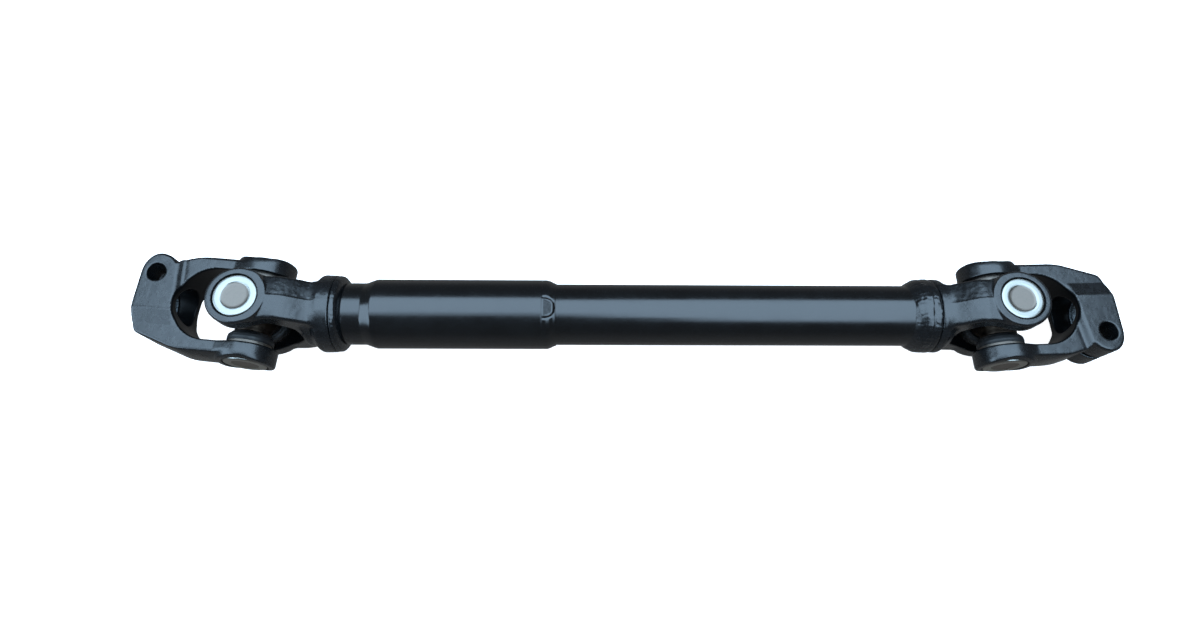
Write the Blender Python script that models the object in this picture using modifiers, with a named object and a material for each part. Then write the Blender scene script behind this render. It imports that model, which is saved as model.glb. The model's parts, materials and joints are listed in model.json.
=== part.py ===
"""Universal joint shaft: two cross joints, a sleeve tube and a slide tube.

The shaft lies along X on the flats of its two inner yokes. Each joint has an inner weld
yoke with its ears at +Z and -Z, a cross, and an outer clamp yoke with its ears at +Y and
-Y. Every length below is in millimetres and is turned to metres when a mesh is made.
"""
import math

import bmesh
import bpy
from mathutils import Matrix, Vector

MM = 0.001
GAP = 0.3                      # air between two pieces that touch on the real object
ROUND = 20                     # sides of a small turned piece
ROUND_TUBE = 32                # sides of a tube
ROUND_EAR = 28                 # sides of a yoke's ear
SKIN = 0.02                    # keeps two faces of one forging out of the same plane
PAST = 5.0                     # how far a cutter runs past what it cuts

# joints
JOINT_SPAN = 429.0             # from one cross centre to the other
LEFT_SWING = -5.0              # degrees about Z, how the left outer yoke lies
RIGHT_SWING = 1.5              # degrees about Z, how the right outer yoke lies
EAR_FACE = 31.0                # ear's outer face from the cross centre
EAR_INNER = 20.9               # ear's inner face from the cross centre

# bearing cup, 23.8 mm across and 61.3 mm over a pair
CUP_R = 11.9
CUP_FACE = 30.65
CUP_LIP = 15.9
CUP_BORE = 9.75
CUP_FLOOR = 27.65
CUP_RECESS_R = 7.6
CUP_RECESS_DEPTH = 0.4
CUP_CHAMFER = 0.7

# cross
TRUNNION_R = 7.35
TRUNNION_END = 26.05
SHOULDER_R = 10.6
SHOULDER = 12.9
CORE_HALF = 10.5

# needles, thrust washers and seals
NEEDLES = 14
NEEDLE_IN = TRUNNION_R + GAP
NEEDLE_OUT = CUP_BORE - GAP
NEEDLE_START = 16.6
NEEDLE_END = 26.2
WASHER_R = 7.2
SEAL_R = 11.6

# outer clamp yoke: u runs out along the yoke, v towards the lug, w across the slit
OUT_EAR_R = 15.8
OUT_EAR_FACE = 30.8
OUT_ARM_HALF = 12.6
OUT_ARM_OUTER = 30.0
OUT_END = 64.0
OUT_CORNER = (62.6, -13.0)     # where the end face turns into the slant
THROAT_CENTRE = 20.6
PAD_START = 42.9
PAD_HALF = 15.0
SLOPE_TOP = -7.0
SLOPE_FOOT = -15.0
BOLT_U = 55.0
BOLT_V = 15.0
BOLT_HOLE_R = 5.25
BOLT_TAP_R = 4.25
LUG_REACH = 11.8
SLIT_HALF = 1.4
SLIT_START_V = 6.0
SPLINE_TEETH = 36
SPLINE_TIP_R = 10.3
SPLINE_ROOT_R = 9.85
SPLINE_START = 47.0
THROAT_BORE_R = 10.8

# inner weld yoke: s runs along the shaft from the cross centre
IN_EAR_R = 16.2
IN_ARM_HALF = 12.6
IN_ARM_OUTER = 29.3
IN_THROAT_CENTRE = 6.4
BASE_R = 18.6
SPIGOT_LENGTH = 12.0
LEFT_FACE = 43.3               # weld face of the left yoke
RIGHT_FACE = 39.9              # weld face of the right yoke
LEFT_CREST = 22.3              # collar radius of the left yoke
RIGHT_CREST = 21.5             # collar radius of the right yoke

# shaft, x measured from the middle between the joints
NECK_R = 17.8
SLEEVE_R = 20.0
SLEEVE_BORE = 18.0
NECK_BORE = 15.0
SLEEVE_END = -43.5
MOUTH_R = 19.4
MOUTH_BORE = 18.9
MOUTH_DEPTH = 6.0
SLIDE_R = 17.6
SLIDE_BORE = 14.6
SLIDE_START = -78.0
STUB_START = -134.0
STUB_FLANGE = 4.0
STUB_FLANGE_R = 17.2
STUB_PLUG = 16.0
STUB_TEETH = 16
STUB_TIP_R = 12.0
STUB_ROOT_R = 11.0
BUSH_START = -140.0
BUSH_END = -104.0              # the stub's flange stops short of it at full plunge


# ---------------------------------------------------------------- scene helpers

def clear_scene():
    """Removes what a new file holds."""
    for item in list(bpy.data.objects):
        bpy.data.objects.remove(item, do_unlink=True)


def new_collection(name):
    """A collection in the scene, made anew."""
    made = bpy.data.collections.new(name)
    bpy.context.scene.collection.children.link(made)
    return made


def make_material(name, colour, roughness, metallic):
    """A Principled material of one colour."""
    made = bpy.data.materials.new(name)
    made.use_nodes = True
    shader = made.node_tree.nodes["Principled BSDF"]
    shader.inputs["Base Color"].default_value = (*colour, 1.0)
    shader.inputs["Roughness"].default_value = roughness
    shader.inputs["Metallic"].default_value = metallic
    return made


def make_empty(name, place, parent=None, turn=None):
    """An empty at a place in millimetres, turned by a matrix, under a parent."""
    made = bpy.data.objects.new(name, None)
    parts.objects.link(made)
    made.parent = parent
    made.matrix_local = Matrix.Translation(Vector(place) * MM) @ (turn or Matrix())
    return made


def add_piece(name, mesh, parent, material=None, place=Matrix()):
    """Links a mesh as a named piece, or as a cutter when it has no material."""
    made = bpy.data.objects.new(name, mesh)
    if material is None:
        cutters.objects.link(made)
        made.hide_render = True
        made.display_type = "WIRE"
    else:
        parts.objects.link(made)
        mesh.materials.append(material)
    made.parent = parent
    made.matrix_local = place
    return made


def combine(target, tool, operation):
    """Puts an exact Boolean of the tool on the target."""
    step = target.modifiers.new(operation.lower(), "BOOLEAN")
    step.operation = operation
    step.solver = "EXACT"
    step.object = tool
    return target


def soften(piece, angle=35.0):
    """Shades the round faces of a piece smooth."""
    piece.data.shade_smooth()
    piece.data.set_sharp_from_angle(angle=math.radians(angle))
    return piece


# ---------------------------------------------------------------- shape helpers

def arc(centre, radius, start, end, steps):
    """Points along an arc, angles in degrees."""
    made = []
    for i in range(steps + 1):
        a = math.radians(start + (end - start) * i / steps)
        made.append((centre[0] + radius * math.cos(a), centre[1] + radius * math.sin(a)))
    return made


def toothed(teeth, tip, root, flat=0.14):
    """A spline outline; flat is half of a tooth's flat top, as a share of the pitch."""
    made = []
    pitch = 360.0 / teeth
    stops = ((-0.5 + flat, root), (-flat, tip), (flat, tip), (0.5 - flat, root))
    if flat == 0.0:
        stops = ((-0.5, root), (0.0, tip))
    for i in range(teeth):
        for part, radius in stops:
            angle = math.radians((i + part) * pitch)
            made.append((radius * math.cos(angle), radius * math.sin(angle)))
    return made


def scalloped(count, radius, bite):
    """The outline of a ring of rollers: a circle whose every other point moves by bite."""
    made = []
    for i in range(count * 2):
        angle = math.pi * i / count
        reach = radius + (bite if i % 2 else 0.0)
        made.append((reach * math.cos(angle), reach * math.sin(angle)))
    return made


def prism(name, outline, low, high, axes="xyz"):
    """A closed prism: an outline in the first two axes, drawn along the third."""
    first, second, third = ("xyz".index(letter) for letter in axes)
    work = bmesh.new()
    row = []
    for point in outline:
        place = [0.0, 0.0, 0.0]
        place[first] = point[0] * MM
        place[second] = point[1] * MM
        place[third] = low * MM
        row.append(work.verts.new(place))
    face = work.faces.new(row)
    pulled = bmesh.ops.extrude_face_region(work, geom=[face])
    corners = [item for item in pulled["geom"] if isinstance(item, bmesh.types.BMVert)]
    pull = Vector((0.0, 0.0, 0.0))
    pull[third] = (high - low) * MM
    bmesh.ops.translate(work, verts=corners, vec=pull)
    work.faces.ensure_lookup_table()
    bmesh.ops.recalc_face_normals(work, faces=work.faces)
    mesh = bpy.data.meshes.new(name)
    work.to_mesh(mesh)
    work.free()
    return mesh


def cylinder(name, radius, low, high, axis, centre=(0.0, 0.0), steps=ROUND):
    """A closed cylinder along one axis; centre is in the other two, in order."""
    others = [letter for letter in "xyz" if letter != axis]
    outline = arc(centre, radius, 0.0, 360.0 - 360.0 / steps, steps - 1)
    return prism(name, outline, low, high, others[0] + others[1] + axis)


def turned(name, profile, parent, material=None, place=Matrix(), steps=ROUND, closed=True):
    """Turns a profile of (along, radius) points about the piece's own Z axis."""
    mesh = bpy.data.meshes.new(name)
    points = [(radius * MM, 0.0, along * MM) for along, radius in profile]
    edges = [(i, i + 1) for i in range(len(points) - 1)]
    if closed:
        edges.append((len(points) - 1, 0))
    mesh.from_pydata(points, edges, [])
    piece = add_piece(name, mesh, parent, material, place)
    spin = piece.modifiers.new("turn", "SCREW")
    spin.axis = "Z"
    spin.steps = steps
    spin.render_steps = steps
    spin.use_merge_vertices = True
    spin.merge_threshold = 0.00001
    spin.use_smooth_shade = True
    return piece


# ---------------------------------------------------------------- outer clamp yoke

def lug_outline(steps):
    """The lug's round end in u and v: two elliptical quarters round the bolt hole."""
    made = []
    for i in range(2 * steps + 1):
        angle = math.pi / 2.0 * i / steps
        reach = OUT_END - BOLT_U if i <= steps else BOLT_U - PAD_START
        made.append((BOLT_U + reach * math.cos(angle), BOLT_V + LUG_REACH * math.sin(angle)))
    return made


def outer_plan():
    """The clamp yoke's outline in u and v: two arms, the slant, the end face, the throat."""
    outline = [(0.0, -30.2), (20.0, -30.2), (31.0, -29.4), (59.8, -20.0)]
    outline += [OUT_CORNER, (OUT_END, -5.0)]
    outline += lug_outline(5)[:8]
    outline += [(46.0, 24.4), (41.0, 25.4), (31.0, 28.2), (20.0, 29.6), (0.0, 29.6)]
    outline += [(0.0, EAR_INNER)]
    outline += arc((THROAT_CENTRE, 0.0), EAR_INNER, 90.0, -90.0, 14)
    outline += [(0.0, -EAR_INNER)]
    return outline


def pad_plan():
    """The thick hub's outline in u and v: it ends in the lug round the bolt hole."""
    side = SLOPE_FOOT - 1.0
    corner = (OUT_CORNER[0] - SKIN, OUT_CORNER[1])
    outline = [(PAD_START, side), (61.2, side), corner, (OUT_END - SKIN, -5.0)]
    return outline + [(u - SKIN, v) for u, v in lug_outline(5)]


def outer_yoke(name, pivot):
    """The clamp yoke: a forging, then its bores, bolt hole and slit."""
    forging = prism(name, outer_plan(), -OUT_ARM_HALF, OUT_ARM_HALF)
    yoke = add_piece(name, forging, pivot, ENAMEL)
    tools = []
    round_arms = cylinder(name + "_arms", OUT_ARM_OUTER, -PAST, OUT_END + PAST, "x",
                          steps=ROUND_TUBE)
    tools.append((round_arms, "INTERSECT"))
    for sign in (-1.0, 1.0):
        inner, outer = sorted((sign * (EAR_INNER - 0.2), sign * OUT_EAR_FACE))
        ear = cylinder(f"{name}_ear_{sign:.0f}", OUT_EAR_R, inner, outer, "y", steps=ROUND_EAR)
        tools.append((ear, "UNION"))
    pad = prism(name + "_pad", pad_plan(), -PAD_HALF, PAD_HALF)
    tools.append((pad, "UNION"))
    for sign in (-1.0, 1.0):
        foot = sign * (OUT_ARM_HALF + SKIN)
        slope = [(SLOPE_TOP, sign * PAD_HALF), (SLOPE_FOOT, foot), (-34.0, foot)]
        slope += [(-34.0, sign * 20.0), (SLOPE_TOP, sign * 20.0)]
        tools.append((prism(f"{name}_slope_{sign:.0f}", slope, 20.0, 70.0, "yzx"), "DIFFERENCE"))
    bore = cylinder(name + "_ear_bore", CUP_R + GAP, -EAR_FACE - PAST, EAR_FACE + PAST, "y")
    counterbore = cylinder(name + "_throat_bore", THROAT_BORE_R, 30.0, SPLINE_START, "x")
    teeth = toothed(SPLINE_TEETH, SPLINE_TIP_R, SPLINE_ROOT_R, 0.0)
    spline = prism(name + "_spline", teeth, SPLINE_START - 1.0, OUT_END + PAST, "yzx")
    end = OUT_END + PAST
    gap = [(30.0, -SLIT_HALF), (end, -SLIT_HALF), (end, SLIT_HALF), (30.0, SLIT_HALF)]
    slit = prism(name + "_slit", gap, SLIT_START_V, BOLT_V + LUG_REACH + PAST, "xzy")
    bolt = (BOLT_U, BOLT_V)
    clear = cylinder(name + "_bolt_hole", BOLT_HOLE_R, -PAD_HALF - PAST, 0.0, "z", bolt)
    tapped = cylinder(name + "_bolt_thread", BOLT_TAP_R, -1.0, PAD_HALF + PAST, "z", bolt)
    for mesh in (bore, counterbore, spline, slit, clear, tapped):
        tools.append((mesh, "DIFFERENCE"))
    for mesh, operation in tools:
        combine(yoke, add_piece(mesh.name, mesh, pivot), operation)
    return soften(yoke)


# ---------------------------------------------------------------- inner weld yoke

def inner_side(crest_start):
    """The weld yoke's outline in s and z: two arms, a round throat and the base."""
    top = [(0.0, 30.0), (19.0, 30.0), (26.0, 28.6), (32.0, 25.6), (crest_start + 0.5, 21.0)]
    outline = top + [(s, -z) for s, z in reversed(top)]
    outline += [(0.0, -EAR_INNER)]
    outline += arc((IN_THROAT_CENTRE, 0.0), EAR_INNER, -90.0, 90.0, 14)
    outline += [(0.0, EAR_INNER)]
    return outline


def inner_base(face, crest, crest_start, bore):
    """The turned base: cone, collar crest, weld face and the spigot in the tube."""
    profile = [(25.6, 0.0), (25.6, 10.0), (28.4, 15.0), (31.6, BASE_R)]
    profile += [(crest_start - 2.6, BASE_R + 0.4), (crest_start, crest - 0.6)]
    profile += [(crest_start + 1.2, crest), (face, crest), (face, bore - GAP)]
    profile += [(face + SPIGOT_LENGTH, bore - GAP), (face + SPIGOT_LENGTH, 0.0)]
    return list(reversed(profile))


def inner_yoke(name, pivot, face, crest, bore):
    """The weld yoke, built along +X from its cross centre."""
    crest_start = face - 5.0
    arms = prism(name, inner_side(crest_start), -IN_ARM_HALF, IN_ARM_HALF, "xzy")
    yoke = add_piece(name, arms, pivot, ENAMEL)
    keep = cylinder(name + "_arms", IN_ARM_OUTER, -PAST, face + PAST, "x", steps=ROUND_TUBE)
    combine(yoke, add_piece(keep.name, keep, pivot), "INTERSECT")
    for sign in (-1.0, 1.0):
        inner, outer = sorted((sign * (EAR_INNER - 0.2), sign * EAR_FACE))
        ear = cylinder(f"{name}_ear_{sign:.0f}", IN_EAR_R, inner, outer, "z", steps=ROUND_EAR)
        combine(yoke, add_piece(ear.name, ear, pivot), "UNION")
    base = turned(name + "_base", inner_base(face, crest, crest_start, bore), pivot,
                  place=ALONG, steps=ROUND_TUBE, closed=False)
    combine(yoke, base, "UNION")
    ears = cylinder(name + "_ear_bore", CUP_R + GAP, -EAR_FACE - PAST, EAR_FACE + PAST, "z")
    combine(yoke, add_piece(ears.name, ears, pivot), "DIFFERENCE")
    return soften(yoke)


# ---------------------------------------------------------------- cross and its bearings

def cross(name, pivot):
    """The forged cross: a chamfered core, four shoulders and four ground trunnions."""
    core = bpy.data.meshes.new(name)
    work = bmesh.new()
    bmesh.ops.create_cube(work, size=2.0 * CORE_HALF * MM)
    bmesh.ops.bevel(work, geom=work.edges[:], offset=4.0 * MM, segments=1, affect="EDGES")
    work.to_mesh(core)
    work.free()
    piece = add_piece(name, core, pivot, FORGED)
    for axis in "yz":
        arm = cylinder(f"{name}_shoulder_{axis}", SHOULDER_R, -SHOULDER, SHOULDER, axis)
        combine(piece, add_piece(arm.name, arm, pivot), "UNION")
        pin = cylinder(f"{name}_trunnion_{axis}", TRUNNION_R, -TRUNNION_END, TRUNNION_END, axis)
        combine(piece, add_piece(pin.name, pin, pivot), "UNION")
    return soften(piece)


def bearing(prefix, cross_pivot, yoke_pivot, turn):
    """One trunnion's cup, needles, thrust washer and lip seal, along the turned Z axis."""
    dish = CUP_FACE - CUP_RECESS_DEPTH
    cup = [(dish, 0.0), (dish, CUP_RECESS_R), (CUP_FACE, CUP_RECESS_R)]
    cup += [(CUP_FACE, CUP_R - CUP_CHAMFER), (CUP_FACE - CUP_CHAMFER, CUP_R)]
    cup += [(CUP_LIP, CUP_R), (CUP_LIP, CUP_BORE), (CUP_FLOOR, CUP_BORE), (CUP_FLOOR, 0.0)]
    turned(prefix + "_cup", cup, yoke_pivot, BRIGHT, turn, closed=False)
    bite = (NEEDLE_OUT - NEEDLE_IN) * 0.18
    outside = scalloped(NEEDLES, NEEDLE_OUT, -bite)
    inside = scalloped(NEEDLES, NEEDLE_IN, bite)
    ring = prism(prefix + "_needles", outside, NEEDLE_START, NEEDLE_END)
    needles = add_piece(ring.name, ring, yoke_pivot, BRIGHT, turn)
    hollow = prism(prefix + "_needle_hollow", inside, NEEDLE_START - 1.0, NEEDLE_END + 1.0)
    combine(needles, add_piece(hollow.name, hollow, yoke_pivot, place=turn), "DIFFERENCE")
    washer = cylinder(prefix + "_thrust_washer", WASHER_R, TRUNNION_END + GAP,
                      CUP_FLOOR - GAP, "z")
    add_piece(washer.name, washer, yoke_pivot, NYLON, turn)
    low = SHOULDER + GAP
    high = CUP_LIP - GAP
    seal = [(high, NEEDLE_IN), (high, SEAL_R - 0.5), (high - 0.7, SEAL_R), (low, SEAL_R)]
    seal += [(low, NEEDLE_IN)]
    turned(prefix + "_seal", seal, cross_pivot, RUBBER, turn)


def joint(side, cross_pivot, inner_pivot, outer_pivot):
    """A cross and its four bearings: two in the inner yoke, two in the outer yoke."""
    cross(side + "_cross", cross_pivot)
    quarter = math.radians(90.0)
    places = {
        "inner_upper": (inner_pivot, Matrix()),
        "inner_lower": (inner_pivot, Matrix.Rotation(2.0 * quarter, 4, "X")),
        "outer_front": (outer_pivot, Matrix.Rotation(quarter, 4, "X")),
        "outer_rear": (outer_pivot, Matrix.Rotation(-quarter, 4, "X")),
    }
    for name, (yoke_pivot, turn) in places.items():
        bearing(f"{side}_{name}", cross_pivot, yoke_pivot, turn)


# ---------------------------------------------------------------- tubes

def sleeve(parent, face):
    """The large tube with its turned neck; face is where its weld to the yoke starts."""
    flange = face + 4.7
    outer = [(SLEEVE_END, MOUTH_R), (SLEEVE_END - 4.4, SLEEVE_R)]
    outer += [(face + 25.9, SLEEVE_R), (face + 19.8, NECK_R), (face + 9.0, NECK_R)]
    outer += [(face + 7.4, 17.2), (flange + 0.4, 21.4), (flange, 21.4)]
    outer += [(flange, 18.7), (face + GAP, 18.7)]
    inner = [(face + GAP, NECK_BORE), (face + 20.0, NECK_BORE), (face + 26.0, SLEEVE_BORE)]
    inner += [(SLEEVE_END - MOUTH_DEPTH, SLEEVE_BORE), (SLEEVE_END - MOUTH_DEPTH, MOUTH_BORE)]
    inner += [(SLEEVE_END, MOUTH_BORE)]
    turned("sleeve_tube", outer + inner, parent, ENAMEL, ALONG, ROUND_TUBE)


def left_weld(parent, face):
    """The bead in the groove between the left yoke's collar and the sleeve's flange."""
    bead = [(face + 4.4, 19.0), (face + 4.4, 21.8), (face + 3.3, 22.4), (face + 1.4, 22.4)]
    bead += [(face + GAP, 21.8), (face + GAP, 19.0)]
    turned("left_weld", bead, parent, ENAMEL, ALONG, ROUND_TUBE)


def right_weld(parent, face):
    """The long bead that ramps from the slide tube up to the right yoke's collar."""
    rise = SLIDE_R + GAP
    bead = [(face - GAP, rise), (face - GAP, 21.3), (face - 1.0, 21.5), (face - 8.2, 21.4)]
    bead += [(face - 12.6, 19.2), (face - 14.4, rise + 0.2), (face - 14.4, rise)]
    turned("right_weld", bead, parent, ENAMEL, ALONG, ROUND_TUBE)


def slide_tube(parent, face):
    """The smaller tube, which runs in the sleeve."""
    wall = [(face - GAP, SLIDE_BORE), (face - GAP, SLIDE_R), (SLIDE_START, SLIDE_R)]
    wall += [(SLIDE_START, SLIDE_BORE)]
    turned("slide_tube", wall, parent, ENAMEL, ALONG, ROUND_TUBE)


def splined_stub(parent):
    """The male spline, with a flange on the tube's end and a plug inside the tube."""
    teeth = toothed(STUB_TEETH, STUB_TIP_R, STUB_ROOT_R)
    shaft = prism("splined_stub", teeth, STUB_START, SLIDE_START, "yzx")
    stub = add_piece("splined_stub", shaft, parent, NYLON)
    flange = cylinder("stub_flange", STUB_FLANGE_R, SLIDE_START - STUB_FLANGE,
                      SLIDE_START - GAP, "x")
    plug = cylinder("stub_plug", SLIDE_BORE - GAP, SLIDE_START - 1.0,
                    SLIDE_START + STUB_PLUG, "x")
    for mesh in (flange, plug):
        combine(stub, add_piece(mesh.name, mesh, parent), "UNION")


def splined_bush(parent):
    """The female spline, fixed in the sleeve."""
    outer = cylinder("splined_bush", SLEEVE_BORE - GAP, BUSH_START, BUSH_END, "x",
                     steps=ROUND_TUBE)
    bush = add_piece("splined_bush", outer, parent, BRIGHT)
    teeth = toothed(STUB_TEETH, STUB_TIP_R + GAP, STUB_ROOT_R + GAP)
    hollow = prism("bush_hollow", teeth, BUSH_START - 1.0, BUSH_END + 1.0, "yzx")
    combine(bush, add_piece(hollow.name, hollow, parent), "DIFFERENCE")


def wiper_seal(parent):
    """The rubber wiper in the sleeve's mouth."""
    low = SLIDE_R + GAP
    high = MOUTH_BORE - GAP
    ring = [(SLEEVE_END - 0.6, low), (SLEEVE_END - 0.6, high)]
    ring += [(SLEEVE_END - MOUTH_DEPTH + GAP, high), (SLEEVE_END - MOUTH_DEPTH + GAP, low)]
    turned("wiper_seal", ring, parent, RUBBER, ALONG, ROUND_TUBE)


# ---------------------------------------------------------------- assembly

def build_shaft():
    """Builds every piece under empties that stand on the joints' axes."""
    left = -JOINT_SPAN / 2.0
    right = JOINT_SPAN / 2.0
    flip_y = Matrix.Rotation(math.pi, 4, "Y")
    flip_x = Matrix.Rotation(math.pi, 4, "X")
    flip_z = Matrix.Rotation(math.pi, 4, "Z")
    shaft = make_empty("shaft_frame", (0.0, 0.0, EAR_FACE))
    slide = make_empty("slide_frame", (0.0, 0.0, 0.0), shaft)
    left_cross = make_empty("left_cross_pivot", (left, 0.0, 0.0), shaft,
                            Matrix.Rotation(math.radians(LEFT_SWING), 4, "Z"))
    left_inner = make_empty("left_inner_frame", (left, 0.0, 0.0), shaft)
    left_outer = make_empty("left_outer_pivot", (0.0, 0.0, 0.0), left_cross)
    right_cross = make_empty("right_cross_pivot", (right, 0.0, 0.0), slide,
                             Matrix.Rotation(math.radians(RIGHT_SWING), 4, "Z"))
    right_inner = make_empty("right_inner_frame", (right, 0.0, 0.0), slide)
    right_outer = make_empty("right_outer_pivot", (0.0, 0.0, 0.0), right_cross)

    left_turn = make_empty("left_yoke_turn", (0, 0, 0), left_outer, flip_y)
    outer_yoke("left_outer_yoke", left_turn)
    outer_yoke("right_outer_yoke", make_empty("right_yoke_turn", (0, 0, 0), right_outer, flip_x))
    right_turn = make_empty("right_weld_turn", (0, 0, 0), right_inner, flip_z)
    inner_yoke("left_inner_yoke", left_inner, LEFT_FACE, LEFT_CREST, NECK_BORE)
    inner_yoke("right_inner_yoke", right_turn, RIGHT_FACE, RIGHT_CREST, SLIDE_BORE)
    joint("left", left_cross, left_inner, left_outer)
    joint("right", right_cross, right_inner, right_outer)

    sleeve(shaft, left + LEFT_FACE)
    left_weld(shaft, left + LEFT_FACE)
    splined_bush(shaft)
    wiper_seal(shaft)
    slide_tube(slide, right - RIGHT_FACE)
    splined_stub(slide)
    right_weld(slide, right - RIGHT_FACE)
    return shaft


def stand_on_origin(shaft):
    """Moves the frame so that the middle of the model's underside is the origin."""
    bpy.context.view_layer.update()
    graph = bpy.context.evaluated_depsgraph_get()
    low = Vector((1e9, 1e9, 1e9))
    high = -low
    for piece in parts.objects:
        if piece.type != "MESH":
            continue
        whole = piece.evaluated_get(graph)
        for corner in whole.data.vertices:
            place = whole.matrix_world @ corner.co
            low = Vector(map(min, low, place))
            high = Vector(map(max, high, place))
    shaft.location -= Vector(((low.x + high.x) / 2.0, (low.y + high.y) / 2.0, low.z))


clear_scene()
parts = new_collection("universal_joint_shaft")
cutters = new_collection("cutters")
cutters.hide_render = True
ENAMEL = make_material("black_enamel", (0.012, 0.014, 0.017), 0.3, 0.0)
BRIGHT = make_material("ground_steel", (0.62, 0.65, 0.68), 0.25, 1.0)
FORGED = make_material("forged_steel", (0.16, 0.13, 0.1), 0.55, 0.8)
RUBBER = make_material("nitrile_rubber", (0.02, 0.02, 0.02), 0.7, 0.0)
NYLON = make_material("nylon", (0.55, 0.53, 0.45), 0.45, 0.0)
ALONG = Matrix.Rotation(math.radians(90.0), 4, "Y")
stand_on_origin(build_shaft())
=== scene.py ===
"""Universal joint shaft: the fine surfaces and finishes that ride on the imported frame.

Each joint has a forged clamp yoke, a forged weld yoke and a forged cross on four needle
bearings; a sleeve tube and a slide tube run between the joints. Forgings are solids told
by a distance field in millimetres: each solid has a function of place that is negative
inside the metal, and a net of quads is laid over its zero level. Turned pieces are a
profile carried round an axis. Every piece is placed by the frame's own boxes and joint axes.
"""
import json
import logging
import math
from dataclasses import dataclass, field
from enum import Enum
from typing import Callable, Sequence

import bpy
import numpy as np
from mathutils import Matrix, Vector


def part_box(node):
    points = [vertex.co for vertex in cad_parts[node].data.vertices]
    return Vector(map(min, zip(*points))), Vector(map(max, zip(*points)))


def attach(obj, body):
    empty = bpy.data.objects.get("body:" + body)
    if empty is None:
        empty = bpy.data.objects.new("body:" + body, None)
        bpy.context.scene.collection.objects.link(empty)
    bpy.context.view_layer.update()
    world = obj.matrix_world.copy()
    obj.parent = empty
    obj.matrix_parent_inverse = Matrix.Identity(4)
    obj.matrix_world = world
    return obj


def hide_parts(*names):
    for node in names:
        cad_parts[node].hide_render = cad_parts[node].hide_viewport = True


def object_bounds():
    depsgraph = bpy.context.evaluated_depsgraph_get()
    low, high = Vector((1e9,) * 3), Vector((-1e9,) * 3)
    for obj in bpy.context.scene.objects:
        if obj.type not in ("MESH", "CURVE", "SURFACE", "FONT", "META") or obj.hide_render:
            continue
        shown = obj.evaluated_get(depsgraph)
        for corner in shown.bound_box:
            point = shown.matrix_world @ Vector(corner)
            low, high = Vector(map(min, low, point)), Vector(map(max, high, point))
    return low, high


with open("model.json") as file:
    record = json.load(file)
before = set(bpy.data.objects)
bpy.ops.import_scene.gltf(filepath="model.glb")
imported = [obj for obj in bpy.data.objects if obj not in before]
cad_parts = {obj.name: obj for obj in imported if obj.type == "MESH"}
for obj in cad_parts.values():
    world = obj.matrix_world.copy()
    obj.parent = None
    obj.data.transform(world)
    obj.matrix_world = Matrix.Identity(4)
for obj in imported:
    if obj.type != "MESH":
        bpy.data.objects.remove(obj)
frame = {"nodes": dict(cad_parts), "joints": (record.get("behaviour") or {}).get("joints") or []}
CAD_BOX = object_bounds()

Array = np.ndarray
Field = Callable[[Array, Array, Array], Array]
Point = tuple[float, float]

MM = 0.001
log = logging.getLogger("shaft")


# ---------------------------------------------------------------- frame

class Side(Enum):
    """The two joints; the value is the sign of the shaft's way along X from its joint."""

    LEFT = 1.0
    RIGHT = -1.0

    @property
    def word(self) -> str:
        """The side's name in the frame's node names."""
        return self.name.lower()


@dataclass(frozen=True)
class Place:
    """Where a piece's own axes stand in the frame.

    Args:
        origin: the piece's zero point, in metres.
        rows: three unit rows, the directions of the piece's own axes.
    """

    origin: Array
    rows: Array

    def world(self, points: Array) -> Array:
        """Millimetres along the own axes to metres in the frame."""
        return self.origin + (points * MM) @ self.rows

    def mirrored(self) -> bool:
        """True if the axes are left-handed, so that faces turn over."""
        return bool(np.linalg.det(self.rows) < 0.0)


def cross_centre(side: Side) -> Array:
    """The middle of a joint's cross, in metres."""
    low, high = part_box(side.word + "_cross")
    return (np.array(low) + np.array(high)) / 2.0


def yoke_axis(side: Side) -> Array:
    """The direction of the outer yoke's trunnions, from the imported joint.

    Args:
        side: which end of the shaft.

    Returns:
        A unit row.
    """
    name = side.word + "_yoke_swing"
    found = [joint for joint in frame["joints"] if joint["name"] == name][0]
    axis = np.array(found["axis"], float)
    return axis / np.linalg.norm(axis)


def clamp_place(side: Side) -> Place:
    """The clamp yoke's axes: u outwards, v towards the lug, w downwards.

    Args:
        side: which end of the shaft.

    Returns:
        The place, with its zero at the cross's centre.
    """
    down = np.array([0.0, 0.0, -1.0])
    lug = yoke_axis(side) * side.value
    return Place(cross_centre(side), np.array([np.cross(lug, down), lug, down]))


def shaft_place(side: Side) -> Place:
    """The weld yoke's axes: s along the shaft towards the tubes, then Y and Z."""
    rows = np.diag([side.value, 1.0, 1.0])
    return Place(cross_centre(side), rows)


def bearing_place(side: Side, direction: Array) -> Place:
    """Axes whose third row runs out along a trunnion.

    Args:
        side: which end of the shaft.
        direction: the trunnion's unit row.

    Returns:
        The place, with its zero at the cross's centre.
    """
    helper = np.array([1.0, 0.0, 0.0])
    second = np.cross(direction, helper)
    second /= np.linalg.norm(second)
    return Place(cross_centre(side), np.array([np.cross(second, direction), second, direction]))


# ---------------------------------------------------------------- fields and outlines

def joined(a: Array, b: Array, fillet: float) -> Array:
    """Union of two fields, with a fillet in the inner corner.

    Within the fillet's radius of both surfaces, the distance is measured from the circle
    that touches both.

    Args:
        a: the first field, in millimetres, negative inside.
        b: the second field.
        fillet: the fillet's radius.

    Returns:
        The joined field.
    """
    near = np.hypot(np.maximum(fillet - a, 0.0), np.maximum(fillet - b, 0.0))
    return np.maximum(fillet, np.minimum(a, b)) - near


def kept(a: Array, b: Array, edge: float) -> Array:
    """Intersection of two fields whose outer corner is rounded with the radius edge."""
    near = np.hypot(np.maximum(edge + a, 0.0), np.maximum(edge + b, 0.0))
    return np.minimum(-edge, np.maximum(a, b)) + near


def cut(a: Array, tool: Array, edge: float) -> Array:
    """Field a with the tool taken out of it, its new corners rounded."""
    return kept(a, -tool, edge)


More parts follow.
